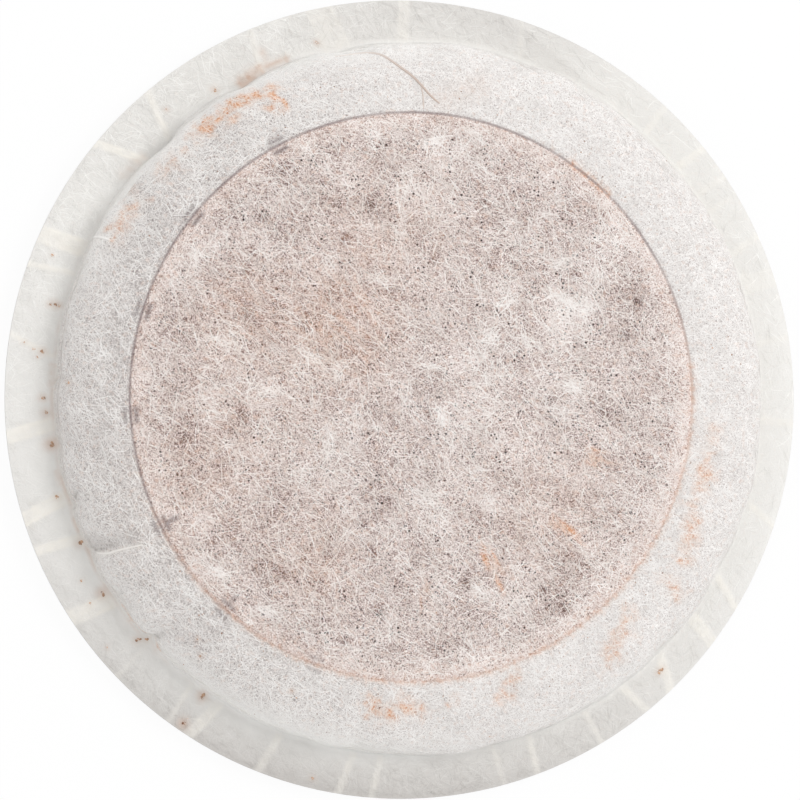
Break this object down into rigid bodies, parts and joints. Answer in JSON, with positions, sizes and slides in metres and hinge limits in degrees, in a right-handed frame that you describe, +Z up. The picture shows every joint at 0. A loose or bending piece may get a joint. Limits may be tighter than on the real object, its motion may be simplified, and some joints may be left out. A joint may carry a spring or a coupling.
{
  "type": "hot chocolate pod",
  "caption": "Round soft filter-paper drink pod: a filled bowl with a gathered foot, a pleated sealed rim, an inner support ring and a cocoa powder fill.",
  "frame": {"origin": "on the pod's axis, at the underside of its flat base", "axes": "+Z up through the crown, +X to the right of the picture and +Y to its top"},
  "size_m": [0.07, 0.07, 0.0075],
  "materials": {
    "top_paper": "matte non-woven filter paper, with cocoa showing through",
    "bottom_paper": "matte non-woven filter paper",
    "ring_plastic": "plain moulded plastic, unpolished",
    "cocoa_powder": "dry, dull powder"
  },
  "bodies": {
    "root": {"top_filter_sheet": "top_paper", "bottom_filter_sheet": "bottom_paper", "support_ring": "ring_plastic", "cocoa_powder_fill": "cocoa_powder"}
  },
  "joints": []
}
